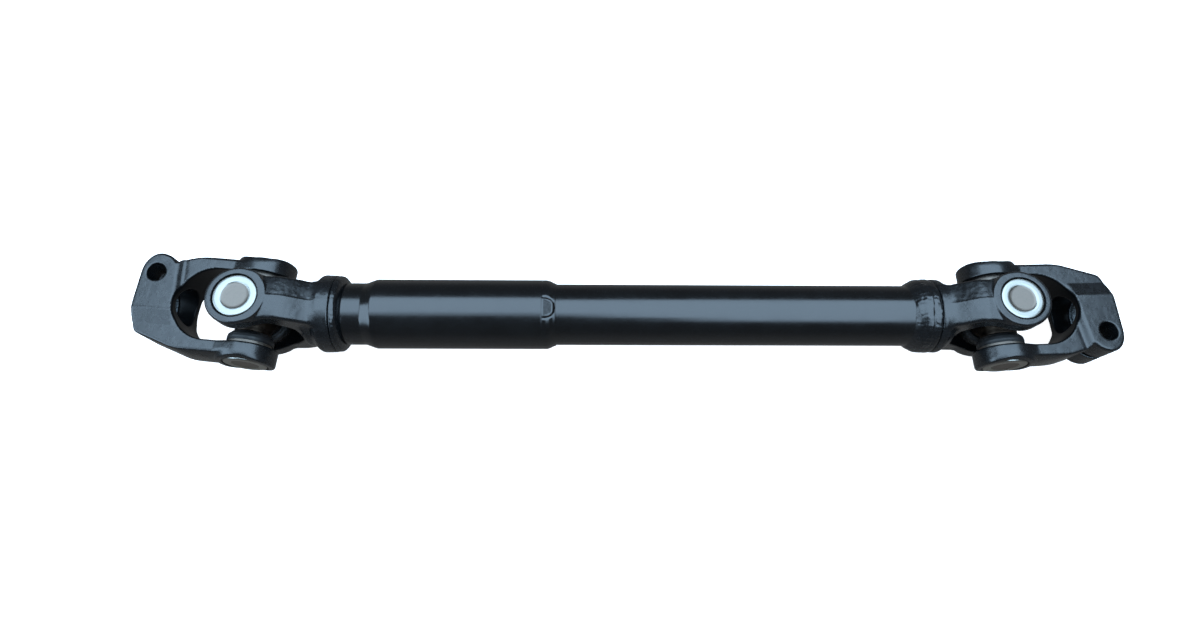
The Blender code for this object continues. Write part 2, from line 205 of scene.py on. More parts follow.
def eased(value: Array) -> Array:
    """Zero below 0, one above 1, and the cubic 3t^2 - 2t^3 between."""
    t = np.clip(value, 0.0, 1.0)
    return t * t * (3.0 - 2.0 * t)


def arc(centre: Point, radius: float, start: float, end: float, steps: int) -> list[Point]:
    """Points along an arc, angles in degrees."""
    angles = np.radians(np.linspace(start, end, steps + 1))
    return [(centre[0] + radius * math.cos(a), centre[1] + radius * math.sin(a)) for a in angles]


def eased_corners(points: Sequence[Point], radius: float, closed: bool = True) -> Array:
    """An outline whose corners are replaced by short parabolas.

    Each corner gives way to three points of the quadratic curve between the places that lie
    `radius` before and after it, or under half an edge away where the edge is short.

    Args:
        points: the outline's corners.
        radius: how far along each edge the rounding starts.
        closed: whether the last point joins the first.

    Returns:
        The rounded outline as an array of points.
    """
    corners = np.array(points, float)
    before = np.roll(corners, 1, axis=0) - corners
    after = np.roll(corners, -1, axis=0) - corners
    reach_in = np.minimum(radius, 0.45 * np.linalg.norm(before, axis=1))
    reach_out = np.minimum(radius, 0.45 * np.linalg.norm(after, axis=1))
    if not closed:
        reach_in[[0, -1]] = 0.0
        reach_out[[0, -1]] = 0.0
    reach = np.minimum(reach_in, reach_out)[:, None]
    first = corners + before / np.linalg.norm(before, axis=1, keepdims=True) * reach
    last = corners + after / np.linalg.norm(after, axis=1, keepdims=True) * reach
    steps = [first, (first * 9 + corners * 6 + last) / 16, (first + corners * 2 + last) / 4,
             (first + corners * 6 + last * 9) / 16, last]
    made = np.stack(steps, axis=1).reshape(-1, 2)
    gone = np.linalg.norm(np.diff(made, axis=0, append=made[:1]), axis=1) < 1e-6
    return made[~gone] if closed else made[np.append(~gone[:-1], True)]


def outline_distance(points: Array, x: Array, y: Array) -> Array:
    """Signed distance from a closed outline, negative inside.

    The distance is the least over the edges, and the sign turns at each edge that a ray
    along X crosses.

    Args:
        points: the outline's corners.
        x: the first coordinate of each place.
        y: the second coordinate, of a shape that goes with the first.

    Returns:
        One distance for each place.
    """
    best = np.full(np.broadcast_shapes(np.shape(x), np.shape(y)), 1e9)
    inside = np.zeros(best.shape, bool)
    for (ax, ay), (bx, by) in zip(points, np.roll(points, -1, axis=0)):
        ex, ey = bx - ax, by - ay
        px, py = x - ax, y - ay
        along = np.clip((px * ex + py * ey) / (ex * ex + ey * ey), 0.0, 1.0)
        best = np.minimum(best, (px - along * ex) ** 2 + (py - along * ey) ** 2)
        if ay != by:
            crosses = ((ay > y) != (by > y)) & (px < ex * py / ey)
            inside ^= crosses
    return np.where(inside, -1.0, 1.0) * np.sqrt(best)


def lumps(points: Array, size: float, seed: int) -> Array:
    """Smooth noise from -1 to 1: random lattice values, blended by the eased cubic.

    Args:
        points: places in millimetres, one row each.
        size: the lattice spacing in millimetres.
        seed: chooses the lattice values.

    Returns:
        One value for each row.
    """
    table = np.random.default_rng(seed).uniform(-1.0, 1.0, (32, 32, 32))
    scaled = points / size
    cell = np.floor(scaled).astype(int)
    part = eased(scaled - cell)
    total = np.zeros(len(points))
    for corner in np.ndindex(2, 2, 2):
        weight = np.prod(np.where(np.array(corner) == 1, part, 1.0 - part), axis=1)
        i, j, k = ((cell + corner) % 32).T
        total += weight * table[i, j, k]
    return total


# ---------------------------------------------------------------- surfaces

@dataclass
class Surface:
    """A mesh before it is placed: points in millimetres, quads, triangles and face marks."""

    points: Array
    quads: Array
    triangles: Array = field(default_factory=lambda: np.zeros((0, 3), int))
    marks: Array | None = None


def slope(solid: Field, points: Array, reach: float = 0.04) -> tuple[Array, Array]:
    """A field's value and its gradient at each point, by central differences.

    Args:
        solid: the field.
        points: places in millimetres, one row each.
        reach: how far to each side the field is read.

    Returns:
        The values, and the gradients one row each.
    """
    x, y, z = points.T
    sides = [(solid(x + reach, y, z), solid(x - reach, y, z)),
             (solid(x, y + reach, z), solid(x, y - reach, z)),
             (solid(x, y, z + reach), solid(x, y, z - reach))]
    value = sum(high + low for high, low in sides) / 6.0
    return value, np.stack([(high - low) / (2.0 * reach) for high, low in sides], axis=1)


def net(solid: Field, low: Sequence[float], high: Sequence[float], pitch: float) -> Surface:
    """Lays a net of quads over the zero level of a field.

    The field is read on a grid. Each cell that the surface passes through gets one point,
    the mean of where the surface crosses the cell's edges, and each crossed edge gets one
    quad between the four cells round it. Newton steps along the gradient then bring every
    point onto the surface.

    Args:
        solid: the field, negative inside.
        low: the grid's lowest corner, in millimetres.
        high: the grid's highest corner.
        pitch: the grid's spacing.

    Returns:
        The surface, with its quads facing out of the solid.
    """
    axes = [np.arange(a, b + pitch, pitch) for a, b in zip(low, high)]
    grid = solid(axes[0][:, None, None], axes[1][None, :, None], axes[2][None, None, :])
    inside = grid < 0.0
    cells = tuple(n - 1 for n in grid.shape)
    total = np.zeros((3, np.prod(cells)))
    count = np.zeros(np.prod(cells))
    loops = []
    for axis in range(3):
        second, third = (axis + 1) % 3, (axis + 2) % 3
        lower = [slice(None)] * 3
        upper = [slice(None)] * 3
        lower[axis], upper[axis] = slice(0, -1), slice(1, None)
        start, end = grid[tuple(lower)], grid[tuple(upper)]
        at = np.argwhere(inside[tuple(lower)] != inside[tuple(upper)])
        first_value, last_value = start[tuple(at.T)], end[tuple(at.T)]
        crossing = at.astype(float)
        crossing[:, axis] += first_value / (first_value - last_value)
        ring = []
        for back in ((1, 1), (0, 1), (0, 0), (1, 0)):
            cell = at.copy()
            cell[:, second] -= back[0]
            cell[:, third] -= back[1]
            flat = np.ravel_multi_index(cell.T, cells)
            ring.append(flat)
            count += np.bincount(flat, minlength=count.size)
            for k in range(3):
                total[k] += np.bincount(flat, crossing[:, k], minlength=count.size)
        quad = np.stack(ring, axis=1)
        outward = (first_value < 0.0)[:, None]
        loops.append(np.where(outward, quad, quad[:, ::-1]))
    used = count > 0
    number = np.cumsum(used) - 1
    places = (total[:, used] / count[used]).T * pitch + np.array([a[0] for a in axes])
    for _ in range(3):
        value, gradient = slope(solid, places)
        size = np.maximum((gradient ** 2).sum(axis=1), 0.25)
        places -= np.clip(value / size, -pitch, pitch)[:, None] * gradient
    return Surface(places, number[np.concatenate(loops)])


def dense(profile: Array, spacing: float, closed: bool) -> Array:
    """The same profile with points no further apart than the spacing.

    Each edge is split into equal parts, as many as its length over the spacing, rounded up.

    Args:
        profile: the points, one row each.
        spacing: the greatest gap.
        closed: whether the last point joins the first.

    Returns:
        The denser profile.
    """
    ends = np.roll(profile, -1, axis=0)
    if not closed:
        profile, last = profile[:-1], profile[-1:]
        ends = ends[:-1]
    counts = np.maximum(1, np.ceil(np.linalg.norm(ends - profile, axis=1) / spacing)).astype(int)
    start = np.repeat(profile, counts, axis=0)
    step = np.repeat(ends - profile, counts, axis=0)
    index = np.arange(counts.sum()) - np.repeat(np.cumsum(counts) - counts, counts)
    made = start + step * (index / np.repeat(counts, counts))[:, None]
    return made if closed else np.concatenate([made, last])


def turned(profile: Array, steps: int, closed: bool = True) -> Surface:
    """Carries a profile of (along, radius) rows round the third axis.

    A point at angle t lies at radius * (cos t, sin t) and at its distance along the axis.
    A closed profile makes a ring. An open one starts and ends on the axis, where a fan of
    triangles closes each pole. The profile runs so that the metal is on its left.

    Args:
        profile: (along, radius) rows.
        steps: how many columns go round.
        closed: whether the profile closes on itself.

    Returns:
        The closed surface.
    """
    rows = profile if closed else profile[1:-1]
    angle = np.linspace(0.0, 2.0 * np.pi, steps, endpoint=False)
    along = np.broadcast_to(rows[:, :1], (len(rows), steps))
    points = np.stack([rows[:, 1:] * np.cos(angle), rows[:, 1:] * np.sin(angle), along], axis=2)
    index = np.arange(len(rows) * steps).reshape(len(rows), steps)
    here = index if closed else index[:-1]
    there = np.roll(index, -1, axis=0) if closed else index[1:]
    quads = np.stack([here, np.roll(here, -1, axis=1), np.roll(there, -1, axis=1), there], axis=2)
    points = points.reshape(-1, 3)
    fans = np.zeros((0, 3), int)
    if not closed:
        poles = [[0.0, 0.0, profile[0, 0]], [0.0, 0.0, profile[-1, 0]]]
        points = np.concatenate([points, poles])
        first, last = index[0], index[-1]
        low = np.stack([np.full(steps, len(points) - 2), np.roll(first, -1), first], axis=1)
        high = np.stack([np.full(steps, len(points) - 1), last, np.roll(last, -1)], axis=1)
        fans = np.concatenate([low, high])
    return Surface(points, quads.reshape(-1, 4), fans)


def gathered(surfaces: Sequence[Surface]) -> Surface:
    """Several surfaces as one."""
    starts = np.cumsum([0] + [len(s.points) for s in surfaces[:-1]])
    return Surface(
        np.concatenate([s.points for s in surfaces]),
        np.concatenate([s.quads + n for s, n in zip(surfaces, starts)]),
        np.concatenate([s.triangles + n for s, n in zip(surfaces, starts)]),
    )


def roughened(surface: Surface, solid: Field, size: float, depth: float, seed: int,
              share: Array | float = 1.0) -> Surface:
    """Moves a forging's points along its normals by smooth noise.

    Args:
        surface: the surface to move.
        solid: its field, for the normals.
        size: the noise's spacing in millimetres.
        depth: its greatest height.
        seed: chooses the noise.
        share: how much of it each point takes, from 0 on machined faces to 1.

    Returns:
        The same surface.
    """
    _, gradient = slope(solid, surface.points)
    normals = gradient / np.maximum(np.linalg.norm(gradient, axis=1, keepdims=True), 1e-6)
    height = lumps(surface.points, size, seed) + 0.5 * lumps(surface.points, size * 0.45, seed + 1)
    surface.points = surface.points + normals * (height * depth * share)[:, None]
    return surface


# ---------------------------------------------------------------- finishes

def linear(colour: str) -> tuple[float, float, float, float]:
    """An sRGB hex value as linear light with full alpha.

    Args:
        colour: a value such as #a1b2c3.

    Returns:
        Red, green, blue and alpha.
    """
    parts = [int(colour[i:i + 2], 16) / 255.0 for i in (1, 3, 5)]
    made = [p / 12.92 if p <= 0.04045 else ((p + 0.055) / 1.055) ** 2.4 for p in parts]
    return (*made, 1.0)


def node(tree: bpy.types.NodeTree, kind: str, links: dict | None = None,
         values: dict | None = None, **settings: object) -> bpy.types.Node:
    """Adds one shader node.

    Args:
        tree: the material's node tree.
        kind: the node type.
        links: input name or number to the output socket that feeds it.
        values: input name or number to its value.
        settings: the node's own properties.

    Returns:
        The new node.
    """
    made = tree.nodes.new(kind)
    for key, value in settings.items():
        setattr(made, key, value)
    for key, value in (values or {}).items():
        made.inputs[key].default_value = value
    for key, socket in (links or {}).items():
        tree.links.new(socket, made.inputs[key])
    return made


def per_metre(size: float) -> float:
    """A noise scale for Object coordinates from a grain size in millimetres."""
    return 1.0 / (size * MM)


@dataclass(frozen=True)
class Finish:
    """A finish: what the material is, its two tones, its gloss and its surface grain.

    Args:
        name: the material's name.
        dark: sRGB hex of the darker tone.
        light: sRGB hex of the lighter tone.
        smooth: the least roughness.
        rough: the greatest roughness.
        metallic: 1 for bare metal.
        ior: refraction, kept at the default on metals.
        patch: size in millimetres of the blotches of tone and gloss.
        grain: size in millimetres of the surface grain.
        grain_depth: height in millimetres of the grain.
        wave: size in millimetres of the long waves in the surface.
        wave_depth: height in millimetres of the waves.
        coat: weight of a clear top layer.
    """

    name: str
    dark: str
    light: str
    smooth: float
    rough: float
    metallic: float = 0.0
    ior: float = 1.5
    patch: float = 9.0
    grain: float = 0.6
    grain_depth: float = 0.01
    wave: float = 6.0
    wave_depth: float = 0.0
    coat: float = 0.0

    def material(self) -> bpy.types.Material:
        """Makes the material, or gives back the one already made.

        One noise blends the two tones and sets the gloss, a finer one is the grain in the
        bump, and a coarser one, where there is any, bends the skin in long waves.

        Returns:
            The material.
        """
        found = bpy.data.materials.get(self.name)
        if found:
            return found
        made = bpy.data.materials.new(self.name)
        made.use_nodes = True
        tree = made.node_tree
        shader = tree.nodes["Principled BSDF"]
        place = node(tree, "ShaderNodeTexCoord").outputs["Object"]
        blotch = node(tree, "ShaderNodeTexNoise", {"Vector": place},
                      {"Scale": per_metre(self.patch), "Detail": 4.0, "Roughness": 0.6})
        tone = node(tree, "ShaderNodeMix", {"Factor": blotch.outputs["Fac"]},
                    {"A": linear(self.dark), "B": linear(self.light)}, data_type="RGBA")
        gloss = node(tree, "ShaderNodeMapRange", {"Value": blotch.outputs["Fac"]},
                     {"From Min": 0.35, "From Max": 0.65, "To Min": self.smooth,
                      "To Max": self.rough})
        grain = node(tree, "ShaderNodeTexNoise", {"Vector": place},
                     {"Scale": per_metre(self.grain), "Detail": 3.0, "Roughness": 0.55})
        bump = node(tree, "ShaderNodeBump", {"Height": grain.outputs["Fac"]},
                    {"Strength": 1.0, "Distance": self.grain_depth * MM})
        if self.wave_depth:
            wave = node(tree, "ShaderNodeTexNoise", {"Vector": place},
                        {"Scale": per_metre(self.wave), "Detail": 1.0})
            bump = node(tree, "ShaderNodeBump",
                        {"Height": wave.outputs["Fac"], "Normal": bump.outputs["Normal"]},
                        {"Strength": 1.0, "Distance": self.wave_depth * MM})
        tree.links.new(tone.outputs[2], shader.inputs["Base Color"])
        tree.links.new(gloss.outputs["Result"], shader.inputs["Roughness"])
        tree.links.new(bump.outputs["Normal"], shader.inputs["Normal"])
        shader.inputs["Metallic"].default_value = self.metallic
        if not self.metallic:
            shader.inputs["IOR"].default_value = self.ior
            shader.inputs["Coat Weight"].default_value = self.coat
            shader.inputs["Coat Roughness"].default_value = self.smooth
        return made


# Black stoving enamel sprayed over drawn tube: deep, glossy, with a faint orange peel.
TUBE_ENAMEL = Finish("black_stoving_enamel_on_tube", "#050607", "#0a0c0e", 0.18, 0.24,
                     ior=1.62, patch=14.0, grain=2.2, grain_depth=0.012, wave=11.0,
                     wave_depth=0.03)
# The same enamel over a shot-blasted forging: the scale's grain shows through the gloss.
FORGING_ENAMEL = Finish("black_stoving_enamel_on_forging", "#06080a", "#0c0f12", 0.24, 0.31,
                        ior=1.62, patch=5.0, grain=0.9, grain_depth=0.042, wave=5.0,
                        wave_depth=0.02)
# A thin coat of it on machined faces: smoother than on the forging's skin, and made darker and
# duller (low IOR) as painted shade in the throats and bores where it lies.
MACHINED_ENAMEL_WITH_PAINTED_SHADE = Finish("thin_enamel_on_machined_steel", "#040506", "#08090b", 0.3, 0.38,
                         ior=1.25, patch=6.0, grain=0.6, grain_depth=0.008)
# Enamel over a weld bead: thick in the ripples and glossier than on the forging.
WELD_ENAMEL = Finish("black_stoving_enamel_on_weld", "#06080a", "#0c0f12", 0.2, 0.28,
                     ior=1.62, patch=3.0, grain=1.0, grain_depth=0.04, wave=2.6,
                     wave_depth=0.06)
# Centreless-ground bearing steel: bright, with a fine satin from the wheel.
GROUND_STEEL = Finish("ground_bearing_steel", "#959590", "#a6a59e", 0.26, 0.34, 1.0,
                      patch=6.0, grain=0.35, grain_depth=0.004)
# The recess in the cup's face keeps the grey of hardening, matt and slightly mottled.
HARDENED_GREY = Finish("case_hardened_steel_recess", "#6d665f", "#938980", 0.45, 0.6, 1.0,
                       patch=1.8, grain=0.5, grain_depth=0.02)
# Bare forged alloy steel with a brown film of oil and scale.
FORGED_STEEL = Finish("oiled_forged_steel", "#241f1a", "#4a4038", 0.32, 0.6, 1.0,
                      patch=3.0, grain=0.8, grain_depth=0.06)
# Broached spline with oil in the roots.
BROACHED_STEEL = Finish("broached_steel", "#5a5f62", "#7d8386", 0.28, 0.42, 1.0,
                        patch=2.0, grain=0.4, grain_depth=0.008)
# Nitrile rubber lip seal: soft black with a mould's satin.
NITRILE = Finish("moulded_nitrile_rubber", "#0b0b0c", "#161718", 0.45, 0.62, ior=1.52,
                 patch=2.5, grain=0.4, grain_depth=0.01)
# Glass-filled nylon: cream, slightly translucent in look, with a moulded sheen.
NYLON = Finish("glass_filled_nylon", "#b9b29c", "#cbc5b1", 0.38, 0.5, ior=1.53, patch=4.0,
               grain=0.4, grain_depth=0.01)


# ---------------------------------------------------------------- pieces

def add_piece(name: str, surface: Surface, place: Place, finishes: Sequence[Finish],
              body: str, nodes: Sequence[str] = ()) -> bpy.types.Object:
    """Puts a surface in the scene as a named piece on a body.

    Args:
        name: the piece's name.
        surface: its points in millimetres and its faces.
        place: where its axes stand.
        finishes: its materials, in the order of the surface's face marks.
        body: the body it rides on.
        nodes: the CAD nodes that it stands for.

    Returns:
        The new object, with its origin at the frame's origin.
    """
    quads, triangles = surface.quads, surface.triangles
    if place.mirrored():
        quads, triangles = quads[:, ::-1], triangles[:, ::-1]
    mesh = bpy.data.meshes.new(name)
    mesh.vertices.add(len(surface.points))
    mesh.vertices.foreach_set("co", place.world(surface.points).ravel())
    mesh.loops.add(quads.size + triangles.size)
    mesh.loops.foreach_set("vertex_index", np.concatenate([quads.ravel(), triangles.ravel()]))
    sizes = np.concatenate([np.full(len(quads), 4), np.full(len(triangles), 3)])
    mesh.polygons.add(len(sizes))
    mesh.polygons.foreach_set("loop_start", np.cumsum(sizes) - sizes)
    for finish in finishes:
        mesh.materials.append(finish.material())
    if surface.marks is not None:
        mesh.polygons.foreach_set("material_index", surface.marks)
    mesh.update(calc_edges=True)
    mesh.validate()
    mesh.shade_smooth()
    made = bpy.data.objects.new(name, mesh)
    bpy.context.scene.collection.objects.link(made)
    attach(made, body)
    if nodes:
        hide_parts(*nodes)
    log.info("%s: %d faces", name, len(sizes))
    return made


# ---------------------------------------------------------------- clamp yoke

@dataclass
class ClampYoke:
    """The outer yoke: two ears, two arms, and a split hub with a pinch-bolt lug.

    Millimetres from the cross centre: u runs out along the yoke, v towards the lug, w down.
    """

    side: Side
    pitch: float = 0.52
    ear_radius: float = 15.8
    ear_face: float = 30.8
    ear_inner: float = 20.9
    arm_half: float = 12.6
    arm_outer: float = 30.0
    end: float = 64.0
    throat_centre: float = 20.6
    corner: Point = (62.6, -13.0)
    lug_inner: float = 42.9
    pad_half: float = 15.0
    pad_foot: float = 38.6
    pad_top: float = 42.4
    pad_lean: float = 0.13
    gutter: float = 0.2
    flash: float = 0.16
    slope_top: float = -7.0
    slope_foot: float = -15.0
    bolt: Point = (55.0, 15.0)
    bolt_hole: float = 5.25
    bolt_thread: float = 4.25
    lug_reach: float = 11.8
    slit_half: float = 1.4
    slit_start: Point = (42.0, 5.0)
    bore: float = 10.8
    bore_start: float = 36.0
    chamfer: float = 1.2
    spline_start: float = 52.0
    spline_teeth: int = 36
    spline_radius: float = 10.07
    spline_depth: float = 0.22
    cup_bore: float = 12.05
    fillet: float = 3.2
    edge: float = 1.6
    outline: Array = field(init=False, repr=False)

    def __post_init__(self) -> None:
        """Draws the outline once."""
        self.outline = self.plan()

    def plan(self) -> Array:
        """The outline: arm, slant, end face, the lug's elliptical end and the arm again.

        Returns:
            The outline in u and v, with its corners eased.
        """
        reach_out = self.end - self.bolt[0]
        reach_in = self.bolt[0] - self.lug_inner
        lug = []
        for u, v in arc((0.0, 0.0), 1.0, 0.0, 145.0, 12):
            reach = reach_out if u > 0.0 else reach_in
            lug.append((self.bolt[0] + reach * u, self.bolt[1] + self.lug_reach * v))
        back = -self.ear_radius - 3.0
        outline = [(back, -self.ear_face), (14.5, -self.ear_face), (20.0, -30.2)]
        outline += [(31.0, -29.4), (59.8, -20.0), self.corner, (self.end, -5.0)] + lug
        outline += [(43.6, 24.6), (31.0, 28.3), (20.0, 29.9), (14.5, self.ear_face)]
        outline += [(back, self.ear_face)]
        return eased_corners(outline, 2.5)

    def half_height(self, u: Array, v: Array) -> Array:
        """Half the thickness of the arms and of the hub's pad.

        It rises by an eased step at the pad, which leans outwards towards the lug and has a
        gutter at its foot, and slopes off again past a flash line beside the bore.

        Args:
            u: place along the yoke.
            v: place towards the lug.

        Returns:
            Half the thickness at each place.
        """
        out = u - self.pad_lean * v
        rise = eased((out - self.pad_foot) / (self.pad_top - self.pad_foot))
        fall = np.clip((v - self.slope_foot) / (self.slope_top - self.slope_foot), 0.0, 1.0)
        foot = np.exp(-((out - self.pad_foot) / 1.6) ** 2) * eased((v - 1.0) / 9.0)
        line = np.exp(-((v - self.slope_top - 0.6) / 0.45) ** 2) * rise
        flat = self.arm_half + (self.pad_half - self.arm_half) * rise * fall
        return flat - self.gutter * foot + self.flash * line

    def solid(self, u: Array, v: Array, w: Array) -> Array:
        """The forging with its machined throat, bores, bolt hole and slit.

        The ears are a cylinder across the yoke and the arms a slab of the half thickness,
        both kept to the outline and to a cylinder along the yoke. The rest is cut away.

        Args:
            u: place along the yoke.
            v: place towards the lug.
            w: place across the slit, downwards.

        Returns:
            The field, negative in the metal.
        """
        off_ear = np.hypot(u, w) - self.ear_radius
        arms = kept(np.abs(w) - self.half_height(u, v), -u, 1.0)
        shape = joined(off_ear, arms, self.fillet)
        shape = kept(shape, outline_distance(self.outline, u, v), self.edge)
        relief = 2.4 * eased(0.5 - off_ear / 1.6) + 6.0 * eased((u - 38.0) / 8.0)
        shape = kept(shape, np.hypot(v, w) - self.arm_outer - relief, 1.2)
        across = np.maximum(u - self.throat_centre, 0.0)
        throat = np.hypot(across, v) - self.ear_inner
        shape = cut(shape, throat, 0.9)
        shape = cut(shape, np.hypot(u, w) - self.cup_bore, 0.35)
        mouth = np.clip(u - self.end + self.chamfer, 0.0, 3.0)
        hub = kept(np.hypot(v, w) - self.bore - mouth, self.bore_start - u, 0.1)
        shape = cut(shape, hub, 0.5)
        slit = kept(np.abs(w) - self.slit_half, self.slit_start[1] - v, 0.1)
        shape = cut(shape, kept(slit, self.slit_start[0] - u, 0.1), 0.4)
        off_bolt = np.hypot(u - self.bolt[0], v - self.bolt[1])
        shape = cut(shape, kept(off_bolt - self.bolt_hole, w, 0.1), 0.55)
        return cut(shape, kept(off_bolt - self.bolt_thread, -w - 1.0, 0.1), 0.55)

    def forged(self, points: Array) -> Array:
        """Tells the forged skin from the machined faces.

        Args:
            points: places on the yoke, one row each.

        Returns:
            One where the skin is as forged, falling to zero on the throat and in the bores.
        """
        u, v, w = points.T
        off_bore = np.hypot(u, w) - self.cup_bore
        off_throat = np.hypot(np.maximum(u - self.throat_centre, 0.0), v) - self.ear_inner
        off_hub = np.hypot(v, w) - self.bore
        return eased(off_bore / 1.5) * eased(off_throat / 1.5) * eased(off_hub / 1.5)

    def teeth(self) -> Surface:
        """The hub's splines: a thin open ring whose inside runs in and out in teeth.

        The ring is a C that stops at the slit. Its inner radius is a sine of the angle with
        one period to a tooth, clipped so that crests and roots are flat.

        Returns:
            The closed surface.
        """
        steps = self.spline_teeth * 16 + 1
        opening = math.asin(self.slit_half / 10.0) + 0.02
        angle = np.linspace(math.pi / 2 + opening, 2.5 * math.pi - opening, steps)
        wave = np.clip(1.6 * np.sin(self.spline_teeth * angle), -1.0, 1.0)
        inner = self.spline_radius + self.spline_depth * wave
        outer = np.full_like(inner, self.bore + 0.12)
        round_inner = np.column_stack([inner * np.sin(angle), inner * np.cos(angle)])
        round_outer = np.column_stack([outer * np.sin(angle), outer * np.cos(angle)])[::-1]
        stops = np.linspace(self.spline_start, self.end - self.chamfer - 0.2, 6)
        rows = []
        for stop in stops:
            ring = np.concatenate([round_inner, round_outer])
            rows.append(np.column_stack([np.full(len(ring), stop), ring]))
        points = np.concatenate(rows)
        count = len(angle) * 2
        index = np.arange(len(points)).reshape(len(stops), count)
        here, there = index[:-1], index[1:]
        walls = np.stack([here, there, np.roll(there, -1, axis=1), np.roll(here, -1, axis=1)],
                         axis=2).reshape(-1, 4)
        inside = np.arange(len(angle) - 1)
        caps = np.stack([inside, inside + 1, count - 2 - inside, count - 1 - inside], axis=1)
        return Surface(points, np.concatenate([walls, caps, caps[:, ::-1] + index[-1, 0]]))

    def build(self) -> None:
        """Builds the forging and its splined bore, and marks the machined faces, which take the
        darkened enamel of painted shade.
        """
        low = (-self.ear_radius - 1.0, -self.ear_face - 1.0, -self.ear_radius - 1.0)
        high = (self.end + 1.0, self.ear_face + 1.0, self.ear_radius + 1.0)
        surface = net(self.solid, low, high, self.pitch)
        surface = roughened(surface, self.solid, 3.4, 0.035, 3, self.forged(surface.points))
        skin = self.forged(surface.points)[surface.quads].mean(axis=1)
        # faces marked 1 are the throat and bores: they take the darker, duller enamel, a painted
        # shade
        surface.marks = (skin < 0.5).astype(int)
        place = clamp_place(self.side)
        body = self.side.word + "_outer_yoke"
        finishes = [FORGING_ENAMEL, MACHINED_ENAMEL_WITH_PAINTED_SHADE]
        add_piece(self.side.word + "_clamp_yoke", surface, place, finishes, body,
                  [self.side.word + "_outer_yoke"])
        add_piece(self.side.word + "_hub_spline", self.teeth(), place, [BROACHED_STEEL], body)


# ---------------------------------------------------------------- weld yoke

